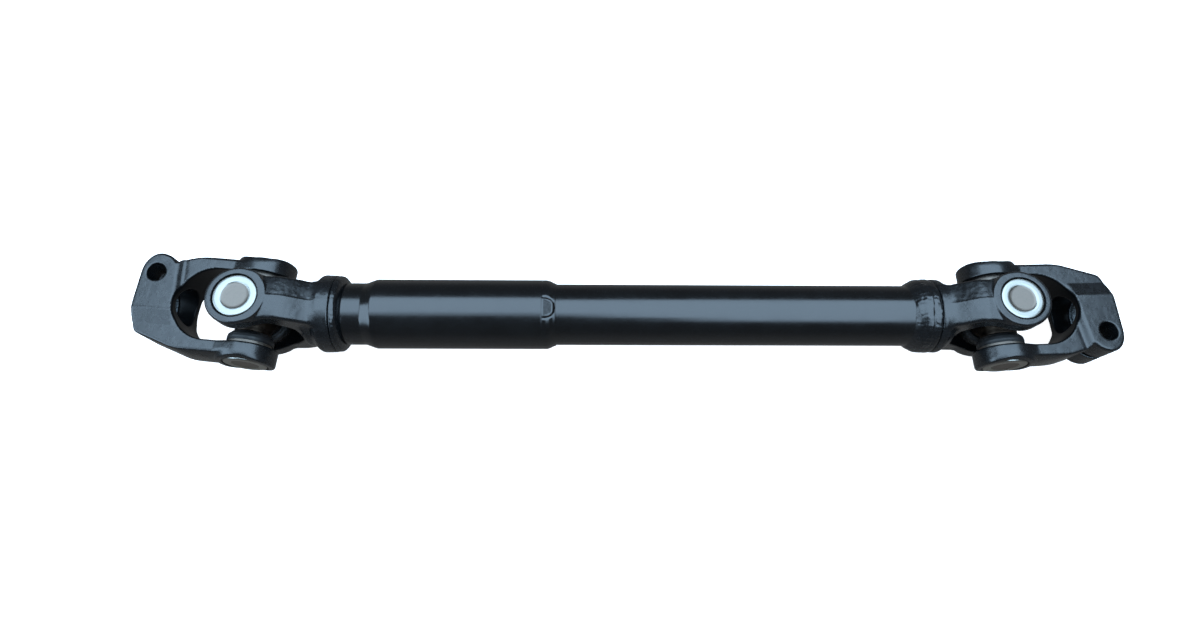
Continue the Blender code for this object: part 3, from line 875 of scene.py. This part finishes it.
@dataclass
class WeldYoke:
    """The inner yoke: two ears on a forked arm that ends in a collar at the weld.

    Millimetres from the cross centre: s runs along the shaft towards the tubes, then y, z.
    """

    side: Side
    start: float
    face: float
    crest: float
    body: str
    pitch: float = 0.52
    ear_radius: float = 16.2
    ear_face: float = 31.0
    ear_inner: float = 20.9
    arm_half: float = 12.6
    throat_centre: float = 6.4
    base: float = 18.6
    cup_bore: float = 12.05
    spigot: float = 14.7
    arm_top: float = 30.6
    arm_drop: float = 10.5
    drop_start: float = 19.0
    near_curve: float = 0.0125
    far_slope: float = 0.15
    far_curve: float = 0.006
    flash: float = 0.22
    fillet: float = 4.0
    edge: float = 1.8
    outline: Array = field(init=False, repr=False)

    def __post_init__(self) -> None:
        """Draws the turned base's outline once."""
        self.outline = self.collar()

    def roof(self, s: Array, y: Array) -> Array:
        """Height of the arms' outer face.

        It falls along the shaft by an eased step, and across it from a parting ridge at
        y = 0: gently on the near side and steeply on the far side, where the die's draft is.
        The ear's flat face stands over it.

        Args:
            s: place along the shaft.
            y: place across it.

        Returns:
            The height at each place.
        """
        along = self.arm_top - self.arm_drop * eased((s - self.drop_start) / (self.start - 15.0))
        near = self.near_curve * np.minimum(y, 0.0) ** 2
        far = self.far_slope * np.maximum(y, 0.0) + self.far_curve * np.maximum(y, 0.0) ** 2
        ridge = self.flash * np.exp(-(y / 0.55) ** 2)
        arm = along - near - far + ridge
        ear = self.ear_face - 3.0 * np.maximum(np.hypot(s, y) - self.ear_radius, 0.0)
        return (arm + ear + np.sqrt((arm - ear) ** 2 + 0.06)) / 2.0

    def collar(self) -> Array:
        """The turned base: cone, waist, crest, weld face and spigot.

        Returns:
            The outline in s and radius, with its corners eased.
        """
        outline = [(24.0, -1.0), (25.0, 9.0), (28.4, 15.0), (31.6, self.base)]
        outline += [(self.start - 2.6, self.base + 0.4), (self.start, self.crest - 0.7)]
        outline += [(self.start + 1.4, self.crest), (self.face, self.crest - 0.2)]
        outline += [(self.face, self.spigot), (self.face + 12.0, self.spigot)]
        outline += [(self.face + 12.0, -1.0)]
        return eased_corners(outline, 1.2)

    def solid(self, s: Array, y: Array, z: Array) -> Array:
        """The forging with its machined throat and cup bores.

        The ears are a cylinder and the arms a slab, both kept under the roof, and the turned
        base is joined on. The throat and the bores are cut away.

        Args:
            s: place along the shaft.
            y: place across it.
            z: height.

        Returns:
            The field, negative in the metal.
        """
        off_ear = np.hypot(s, y) - self.ear_radius
        shape = joined(off_ear, kept(np.abs(y) - self.arm_half, -s, 1.0), self.fillet)
        shape = kept(shape, s - self.start - 1.0, 1.0)
        shape = kept(shape, np.abs(z) - self.roof(s, y), self.edge)
        base = outline_distance(self.outline, s, np.hypot(y, z))
        shape = joined(shape, base, 2.6)
        across = np.maximum(s - self.throat_centre, 0.0)
        throat = np.hypot(across, z) - self.ear_inner
        shape = cut(shape, throat, 1.2)
        return cut(shape, np.hypot(s, y) - self.cup_bore, 0.35)

    def forged(self, points: Array) -> Array:
        """Tells the forged skin from the machined faces.

        Args:
            points: places on the yoke, one row each.

        Returns:
            Zero where machined, about one on the skin, and more on the far flank.
        """
        s, y, z = points.T
        off_bore = np.hypot(s, y) - self.cup_bore
        off_throat = np.hypot(np.maximum(s - self.throat_centre, 0.0), z) - self.ear_inner
        flank = 1.0 + 1.2 * eased(y / 2.0)
        ear = eased((np.hypot(s, y) - self.ear_radius + 1.0) / 2.0)
        return eased(off_bore / 1.2) * eased(off_throat / 1.5) * flank * (0.35 + 0.65 * ear)

    def build(self) -> None:
        """Builds the forging and marks its machined faces, which take the darkened enamel of
        painted shade.
        """
        wide = self.crest + 1.0
        low = (-self.ear_radius - 1.0, -wide, -self.ear_face - 1.0)
        high = (self.face + 13.0, wide, self.ear_face + 1.0)
        surface = net(self.solid, low, high, self.pitch)
        surface = roughened(surface, self.solid, 2.4, 0.04, 11, self.forged(surface.points))
        skin = self.forged(surface.points)[surface.quads].mean(axis=1)
        # faces marked 1 are the throat and bores: they take the darker, duller enamel, a painted
        # shade
        surface.marks = (skin < 0.15).astype(int)
        add_piece(self.side.word + "_weld_yoke", surface, shaft_place(self.side),
                  [FORGING_ENAMEL, MACHINED_ENAMEL_WITH_PAINTED_SHADE], self.body,
                  [self.side.word + "_inner_yoke"])


# ---------------------------------------------------------------- cross and bearings

@dataclass
class Cross:
    """The cross: a forged hub with four shoulders and four ground trunnions."""

    side: Side
    trunnion: float = 7.35
    reach: float = 26.05
    shoulder: float = 10.4
    shoulder_face: float = 12.9
    hub: float = 12.6

    def solid(self, x: Array, y: Array, z: Array) -> Array:
        """A rounded hub with tapering bosses blended into it, and the plain trunnions.

        Args:
            x: place along the shaft.
            y: place along the outer yoke's trunnions.
            z: place along the inner yoke's trunnions.

        Returns:
            The field, negative in the metal.
        """
        shape = np.sqrt(x * x + y * y + z * z) - self.hub
        for along, a, b in ((np.abs(y), x, z), (np.abs(z), x, y)):
            off = np.hypot(a, b)
            boss = kept(off - self.shoulder + 0.06 * along, along - self.shoulder_face, 0.5)
            shape = joined(shape, boss, 1.8)
        shape = kept(shape, np.abs(x) - 10.6, 1.6)
        for along, a, b in ((np.abs(y), x, z), (np.abs(z), x, y)):
            pin = kept(np.hypot(a, b) - self.trunnion, along - self.reach, 0.6)
            shape = joined(shape, pin, 0.4)
        return shape

    def build(self) -> None:
        """Builds the cross on its own swing about Z."""
        reach = self.reach + 1.0
        surface = net(self.solid, (-13.5, -reach, -reach), (13.5, reach, reach), 0.5)
        off = np.abs(surface.points).max(axis=1)
        surface = roughened(surface, self.solid, 2.0, 0.09, 23, eased((13.0 - off) / 0.8))
        turn = yoke_axis(self.side)
        up = np.array([0.0, 0.0, 1.0])
        rows = np.array([np.cross(turn, up), turn, up])
        add_piece(self.side.word + "_cross_forging", surface, Place(cross_centre(self.side), rows),
                  [FORGED_STEEL], self.side.word + "_cross",
                  [self.side.word + "_cross"])


class Seat(Enum):
    """The four trunnions of a cross, each with its sign along its axis."""

    INNER_UPPER = 1.0
    INNER_LOWER = -1.0
    OUTER_FRONT = -1.001
    OUTER_REAR = 1.001

    @property
    def word(self) -> str:
        """The seat's name in the frame's node names."""
        return self.name.lower()

    def direction(self, side: Side) -> Array:
        """The way out along the trunnion."""
        axis = np.array([0.0, 0.0, 1.0]) if "INNER" in self.name else yoke_axis(side)
        return axis * np.sign(self.value)


@dataclass
class Bearing:
    """One trunnion's bearing: cup, needle rollers, thrust disc and lip seal."""

    side: Side
    seat: Seat
    holder: str
    cup: float = 11.9
    face: float = 30.65
    lip: float = 15.9
    bore: float = 9.75
    floor: float = 27.65
    recess: float = 7.6
    recess_depth: float = 0.4
    trunnion: float = 7.35
    needles: int = 20
    needle: float = 1.0
    around: int = 160

    def cup_surface(self) -> Surface:
        """The drawn cup: a ground ring round a matt recess, and a side left grey.

        Returns:
            The surface, marked 1 on the grey faces.
        """
        dish = self.face - self.recess_depth
        outline = [(dish, 0.0), (dish, self.recess - 0.25), (self.face - 0.12, self.recess)]
        outline += [(self.face, self.recess + 0.25), (self.face, self.cup - 0.7)]
        outline += [(self.face - 0.25, self.cup - 0.22), (self.face - 0.8, self.cup)]
        outline += [(self.lip + 0.5, self.cup), (self.lip, self.cup - 0.5), (self.lip, self.bore)]
        outline += [(self.floor - 0.6, self.bore), (self.floor, self.bore - 0.6), (self.floor, 0.0)]
        profile = dense(np.array(outline[::-1]), 1.6, False)
        surface = turned(profile, self.around, False)
        radius = np.hypot(*surface.points[:, :2].T)
        along = surface.points[:, 2]
        matt = (radius < self.recess - 0.1) & (along > self.floor + 1.0)
        matt |= (radius > self.bore + 0.5) & (along < self.face - 1.6)
        marks = [matt[surface.quads].all(axis=1), matt[surface.triangles].all(axis=1)]
        surface.marks = np.concatenate(marks).astype(int)
        return surface

    def seal_surface(self) -> Surface:
        """The lip seal: a ribbed rubber ring with a skirt round the cup's mouth.

        Returns:
            The closed surface.
        """
        inner = 7.65
        outline = [(13.15, inner), (15.6, inner), (15.6, 11.5), (15.85, 11.98), (18.7, 11.98)]
        outline += [(18.9, 12.25), (18.6, 12.5), (17.8, 12.4), (16.9, 12.6), (16.0, 12.4)]
        outline += [(15.2, 12.3), (14.6, 11.9), (14.2, 11.2), (13.15, 10.6)]
        return turned(dense(eased_corners(outline, 0.4), 0.7, True), self.around)

    def rollers(self) -> Surface:
        """A full ring of needle rollers with rounded ends, standing apart by a hair.

        Returns:
            All the rollers as one surface.
        """
        middle = (self.bore + self.trunnion) / 2.0
        radius = min(self.needle, middle * math.sin(math.pi / self.needles) - 0.05)
        profile = [(16.7, 0.0), (16.7, radius - 0.25), (16.95, radius), (25.9, radius)]
        profile += [(26.1, radius - 0.25), (26.1, 0.0)]
        one = turned(np.array(profile[::-1]), 10, False)
        made = []
        for turn in np.arange(self.needles) * 2.0 * math.pi / self.needles:
            shift = [middle * math.cos(turn), middle * math.sin(turn), 0.0]
            made.append(Surface(one.points + shift, one.quads, one.triangles))
        return gathered(made)

    def disc(self) -> Surface:
        """The thrust disc between the trunnion's end and the cup's floor."""
        outline = [(26.4, 0.0), (26.4, 6.8), (26.55, 7.1), (27.2, 7.1), (27.3, 6.8), (27.3, 0.0)]
        return turned(np.array(outline[::-1]), 64, False)

    def build(self) -> None:
        """Builds the four pieces on their bodies."""
        place = bearing_place(self.side, self.seat.direction(self.side))
        name = f"{self.side.word}_{self.seat.word}"
        add_piece(name + "_bearing_cup", self.cup_surface(), place,
                  [GROUND_STEEL, HARDENED_GREY], self.holder, [name + "_cup"])
        add_piece(name + "_needle_rollers", self.rollers(), place, [GROUND_STEEL],
                  self.holder, [name + "_needles"])
        add_piece(name + "_thrust_disc", self.disc(), place, [NYLON], self.holder,
                  [name + "_thrust_washer"])
        add_piece(name + "_lip_seal", self.seal_surface(), place, [NITRILE],
                  self.side.word + "_cross", [name + "_seal"])


# ---------------------------------------------------------------- tubes and welds

@dataclass
class SleeveTube:
    """The large tube: weld flange, groove, neck, cone, barrel and rolled-in mouth.

    Millimetres along X from the left cross centre.
    """

    face: float = 43.3
    radius: float = 20.0
    neck: float = 17.8
    around: int = 288
    stake_turn: float = -7.0
    stake_reach: float = 6.2
    stake_back: float = 5.4
    stake_start: float = 6.6
    facet: float = 0.55
    groove: float = 0.6

    def __post_init__(self) -> None:
        """Reads where the mouth is from the frame."""
        self.mouth = (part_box("sleeve_tube")[1].x - cross_centre(Side.LEFT)[0]) / MM
        self.body = "sleeve_shaft"

    def profile(self) -> Array:
        """The wall's outline: foot, neck, cone, barrel, rolled mouth and the bore.

        Returns:
            The closed profile in x and radius.
        """
        f, m = self.face, self.mouth
        outer = [(f + 4.9, 17.35), (f + 8.6, 17.35), (f + 9.4, self.neck)]
        outer += [(f + 19.8, self.neck)]
        outer += [(f + 25.9, self.radius), (m - 7.2, self.radius), (m - 7.0, self.radius - 0.12)]
        outer += [(m - 6.7, self.radius), (m - 4.4, self.radius), (m - 2.6, 19.5)]
        outer += [(m - 0.8, 18.55), (m + 0.6, 18.05), (m + 0.9, 17.85)]
        inner = [(m + 0.5, 17.75), (m - 1.2, 17.8), (m - 1.6, 18.9), (m - 6.0, 18.9)]
        inner += [(m - 6.0, 18.0), (f + 26.0, 18.0), (f + 20.0, 15.0), (f + 4.9, 15.0)]
        loop = eased_corners((outer + inner)[::-1], 0.7)
        return dense(loop, 1.1, True)

    def staked(self, points: Array) -> Array:
        """Presses the stake mark into the mouth.

        Inside a circle on the tube's skin the radius becomes that of a flat facet, and
        along the circle a bell-shaped groove is pressed in. Both stop at a line round the
        tube, so that the mark is a D.

        Args:
            points: the tube's points, the third column along the shaft.

        Returns:
            The points with the mark pressed in.
        """
        x, y, z = points[:, 2], points[:, 0], points[:, 1]
        radius = np.hypot(y, z)
        turn = np.degrees(np.arctan2(y, z)) - self.stake_turn
        across = np.radians(turn) * self.radius
        off = np.hypot(x - self.mouth + self.stake_back, across) - self.stake_reach
        outside = eased((radius - 18.0) / 0.6) * (np.abs(turn) < 60.0)
        beyond = eased((x - self.mouth + self.stake_start) / 0.6)
        flat = self.radius - self.facet
        facet = flat / np.cos(np.radians(np.clip(turn, -60.0, 60.0)))
        share = eased(-off / 0.7) * beyond * eased((radius - 17.9) / 0.2) * outside
        made = radius + (np.minimum(facet, self.radius) - radius) * share
        made -= self.groove * np.exp(-(off / 0.5) ** 2) * beyond * outside
        scale = made / radius
        return np.column_stack([y * scale, z * scale, x])

    def build(self) -> None:
        """Builds the tube."""
        surface = turned(self.profile(), self.around)
        surface.points = self.staked(surface.points)
        add_piece("sleeve_shell", surface, along_shaft(Side.LEFT), [TUBE_ENAMEL], self.body,
                  ["sleeve_tube"])


def along_shaft(side: Side) -> Place:
    """Axes for a piece turned about the shaft: the third row runs from a joint inwards.

    Args:
        side: the joint it is measured from.

    Returns:
        The place, with its zero at the cross's centre.
    """
    way = side.value
    rows = np.array([[0.0, 1.0, 0.0], [0.0, 0.0, way], [way, 0.0, 0.0]])
    return Place(cross_centre(side), rows)


@dataclass
class SlideTube:
    """The smaller tube that plunges in the sleeve. Millimetres from the right cross."""

    face: float = 39.9
    radius: float = 17.6
    bore: float = 14.6
    around: int = 256

    def build(self) -> None:
        """Builds the tube from its weld to its hidden end."""
        end = (cross_centre(Side.RIGHT)[0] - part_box("slide_tube")[0].x) / MM
        outline = [(self.face + 0.6, self.bore), (self.face + 0.3, self.radius)]
        outline += [(end - 0.6, self.radius), (end, self.radius - 0.6), (end, self.bore)]
        profile = dense(np.array(outline[::-1]), 2.5, True)
        surface = turned(profile, self.around)
        add_piece("slide_shell", surface, along_shaft(Side.RIGHT), [TUBE_ENAMEL],
                  "slide_shaft", ["slide_tube"])


@dataclass
class WeldBead:
    """A bead laid round the shaft, with faint ripples and wandering seams between runs.

    Each seam is its distance from the joint and its depth, in millimetres.
    """

    name: str
    side: Side
    outline: Sequence[Point]
    body: str
    node_name: str
    seams: Sequence[Point]
    ripple: float = 2.6
    ripple_depth: float = 0.03
    wander: float = 0.2
    seam_width: float = 0.75
    around: int = 420

    def build(self) -> None:
        """Builds the bead.

        The skin moves out by a cosine whose phase grows with the distance round the shaft
        and bends back with the square of the distance across the bead, which draws the
        crescents; two sizes of noise make it wander. Each seam is a bell-shaped groove whose
        place along the shaft wanders with noise read round the shaft alone.
        """
        profile = dense(eased_corners(self.outline[::-1], 0.6), 0.35, True)
        surface = turned(profile, self.around)
        x, y, along = surface.points.T
        radius = np.hypot(x, y)
        turn = np.arctan2(y, x)
        low, high = profile[:, 0].min(), profile[:, 0].max()
        across = (along - low) / (high - low) * 2.0 - 1.0
        count = round(2.0 * math.pi * radius.max() / self.ripple)
        crescents = np.cos(count * turn + 2.6 * across ** 2)
        skin = eased((radius - profile[:, 1].min() - 0.4) / 0.8)
        height = self.ripple_depth * crescents * eased((1.0 - np.abs(across)) / 0.3)
        ring = np.column_stack([x, y, along])
        height += self.wander * lumps(ring, 4.5, 31) + 0.35 * self.wander * lumps(ring, 1.4, 37)
        for number, (at, depth) in enumerate(self.seams):
            level = np.full_like(turn, 7.3 * number)
            loop = np.column_stack([20.0 * np.cos(turn), 20.0 * np.sin(turn), level])
            drift = 0.9 * lumps(loop, 6.0, 41) + 0.25 * lumps(loop, 2.3, 43)
            height -= depth * np.exp(-((along - at - drift) / self.seam_width) ** 2)
        scale = 1.0 + height * skin / radius
        surface.points = np.column_stack([x * scale, y * scale, along])
        add_piece(self.name, surface, along_shaft(self.side), [WELD_ENAMEL], self.body,
                  [self.node_name])


@dataclass
class Shaft:
    """The two tubes, their welds, and the spline and wiper inside them."""

    sleeve: SleeveTube = field(default_factory=SleeveTube)
    slide: SlideTube = field(default_factory=SlideTube)

    def welds(self) -> list[WeldBead]:
        """The bead at each end of the shaft.

        Returns:
            The left bead and the right one.
        """
        f = self.sleeve.face
        fillet = [(f + 3.7, 17.4), (f + 3.9, 21.5), (f + 4.6, 22.0), (f + 6.2, 21.6)]
        fillet += [(f + 7.2, 20.7), (f + 7.9, 19.3), (f + 8.3, 17.8), (f + 8.3, 17.4)]
        g = self.slide.face
        ramp = [(g + 0.4, 17.4), (g + 0.4, 21.2), (g + 1.4, 21.5), (g + 5.0, 21.45)]
        ramp += [(g + 8.2, 21.2), (g + 10.4, 20.4), (g + 12.6, 19.0), (g + 14.2, 17.75)]
        ramp += [(g + 14.8, 17.4)]
        return [
            WeldBead("sleeve_weld_bead", Side.LEFT, fillet, "sleeve_shaft", "left_weld",
                     [(f + 5.6, 0.12)]),
            WeldBead("slide_weld_bead", Side.RIGHT, ramp, "slide_shaft", "right_weld",
                     [(g + 5.0, 0.24), (g + 7.4, 0.08), (g + 10.2, 0.24)], wander=0.26),
        ]

    def wiper(self) -> None:
        """Builds the rubber wiper in the sleeve's mouth."""
        m = self.sleeve.mouth
        outline = [(m - 5.7, 17.9), (m - 5.7, 18.6), (m - 2.4, 18.6), (m - 1.8, 18.3)]
        outline += [(m - 1.8, 17.75), (m - 3.0, 17.9)]
        surface = turned(dense(eased_corners(outline[::-1], 0.2), 0.6, True), 192)
        add_piece("mouth_wiper", surface, along_shaft(Side.LEFT), [NITRILE], "sleeve_shaft",
                  ["wiper_seal"])

    def spline(self) -> None:
        """Dresses the coated stub and the bush that it slides in, which stay as packed."""
        for name, finish in (("splined_stub", NYLON), ("splined_bush", BROACHED_STEEL)):
            materials = frame["nodes"][name].data.materials
            materials.clear()
            materials.append(finish.material())

    def build(self) -> None:
        """Builds every piece between the joints."""
        self.sleeve.build()
        self.slide.build()
        for bead in self.welds():
            bead.build()
        self.wiper()
        self.spline()


# ---------------------------------------------------------------- studio

@dataclass
class Studio:
    """A pale floor, a pale backdrop, softboxes and the camera."""

    camera_at: tuple[float, float, float] = (-0.026434, -0.141042, 0.436959)
    camera_turn: tuple[float, float, float] = (19.2258, -1.2002, -0.1971)
    lens: float = 22.1727
    target: tuple[float, float, float] = (-0.15, 0.0, 0.03)
    radiance: float = 10.45
    box_height: float = 1.03
    room_below: float = 0.2
    room_above: float = 0.1
    tint: tuple[float, float, float] = (0.7525, 1.07, 1.397)

    def camera(self) -> None:
        """The camera above and a little in front of the shaft."""
        data = bpy.data.cameras.new("camera")
        data.sensor_width = 36.0
        data.lens = self.lens
        made = bpy.data.objects.new("camera", data)
        made.location = self.camera_at
        made.rotation_euler = [math.radians(a) for a in self.camera_turn]
        bpy.context.scene.collection.objects.link(made)
        bpy.context.scene.camera = made

    def backdrop(self) -> None:
        """A glowing white floor with a white dome round it; neither shows in reflections."""
        floor = bpy.data.meshes.new("floor")
        z = CAD_BOX[0].z
        floor.from_pydata([(-20, -20, z), (20, -20, z), (20, 20, z), (-20, 20, z)], [],
                          [(0, 1, 2, 3)])
        paint = bpy.data.materials.new("matt_white_floor")
        paint.use_nodes = True
        matt = paint.node_tree.nodes["Principled BSDF"]
        matt.inputs["Base Color"].default_value = linear("#e8e8e8")
        matt.inputs["Roughness"].default_value = 0.9
        matt.inputs["Emission Color"].default_value = (1.0, 1.0, 1.0, 1.0)
        matt.inputs["Emission Strength"].default_value = 0.93
        floor.materials.append(paint)
        height = np.linspace(-1.0, 1.0, 25)
        profile = np.column_stack([height, np.sqrt(np.maximum(1.0 - height ** 2, 0.0))]) * 1.9e4
        dome = turned(profile, 48, False)
        mesh = bpy.data.meshes.new("dome")
        mesh.from_pydata((dome.points * MM).tolist(), [],
                         dome.quads.tolist() + dome.triangles.tolist())
        glow = bpy.data.materials.new("white_dome")
        glow.use_nodes = True
        shader = glow.node_tree.nodes["Principled BSDF"]
        shader.inputs["Base Color"].default_value = (0.0, 0.0, 0.0, 1.0)
        shader.inputs["Emission Color"].default_value = (1.0, 1.0, 1.0, 1.0)
        shader.inputs["Emission Strength"].default_value = 1.0
        mesh.materials.append(glow)
        for name, data in (("floor", floor), ("dome", mesh)):
            made = bpy.data.objects.new(name, data)
            made.visible_glossy = False
            made.visible_diffuse = data == floor
            made.visible_shadow = data == floor
            bpy.context.scene.collection.objects.link(made)

    def softbox(self, name: str, at: Sequence[float], size: Point, share: float = 1.0,
                aimed: bool = False) -> None:
        """Adds one softbox.

        Args:
            name: the light's name.
            at: its middle, in metres.
            size: its length and width.
            share: its brightness as a share of the full radiance.
            aimed: True to turn it to the target, False to face straight down.
        """
        data = bpy.data.lights.new(name, "AREA")
        data.shape = "RECTANGLE"
        data.size, data.size_y = size
        data.energy = self.radiance * share * size[0] * size[1]
        data.color = self.tint
        made = bpy.data.objects.new(name, data)
        made.location = at
        if aimed:
            way = Vector(self.target) - Vector(at)
            made.rotation_euler = way.to_track_quat("-Z", "Y").to_euler()
        bpy.context.scene.collection.objects.link(made)

    def room(self) -> None:
        """The dim even room, a little brighter below the horizon than above it."""
        world = bpy.data.worlds.new("studio")
        world.use_nodes = True
        tree = world.node_tree
        place = node(tree, "ShaderNodeTexCoord").outputs["Generated"]
        height = node(tree, "ShaderNodeSeparateXYZ", {"Vector": place}).outputs["Z"]
        strength = node(tree, "ShaderNodeMapRange", {"Value": height},
                        {"From Min": -0.35, "From Max": 0.05, "To Min": self.room_below,
                         "To Max": self.room_above})
        ground = tree.nodes["Background"]
        ground.inputs["Color"].default_value = (0.96, 1.0, 1.02, 1.0)
        tree.links.new(strength.outputs["Result"], ground.inputs["Strength"])
        bpy.context.scene.world = world
        bpy.context.scene.view_settings.view_transform = "Standard"

    def lights(self) -> None:
        """Softboxes overhead, deeper to the right, one at the left end, and the room."""
        high = self.box_height
        self.softbox("softbox_left", (-0.475, 0.26, high), (0.95, 1.02))
        self.softbox("softbox_left_edge", (-0.475, -0.34, high), (0.95, 0.18), 0.5)
        self.softbox("softbox_middle", (0.1, 0.14, high), (0.2, 1.38))
        self.softbox("softbox_right", (0.575, 0.05, high), (0.75, 1.64))
        self.softbox("softbox_right_edge", (0.575, -0.86, high), (0.75, 0.18), 0.5)
        self.softbox("softbox_end", (-1.13, -0.26, 0.67), (1.2, 0.6), aimed=True)
        self.room()

    def build(self) -> None:
        """Sets up the camera, the backdrop and the lights."""
        self.camera()
        self.backdrop()
        self.lights()


def main() -> None:
    """Builds the studio, the joints and the shaft."""
    logging.basicConfig(level=logging.INFO, format="%(message)s")
    Studio().build()
    holders = {Side.LEFT: "sleeve_shaft", Side.RIGHT: "slide_shaft"}
    left, right = holders[Side.LEFT], holders[Side.RIGHT]
    WeldYoke(Side.LEFT, start=38.3, face=47.1, crest=22.3, body=left).build()
    WeldYoke(Side.RIGHT, start=34.9, face=39.9, crest=21.5, body=right, spigot=14.3).build()
    for side in Side:
        ClampYoke(side).build()
        Cross(side).build()
        for seat in Seat:
            inner = "INNER" in seat.name
            Bearing(side, seat, holders[side] if inner else side.word + "_outer_yoke").build()
    Shaft().build()


if __name__ == "__main__":
    main()
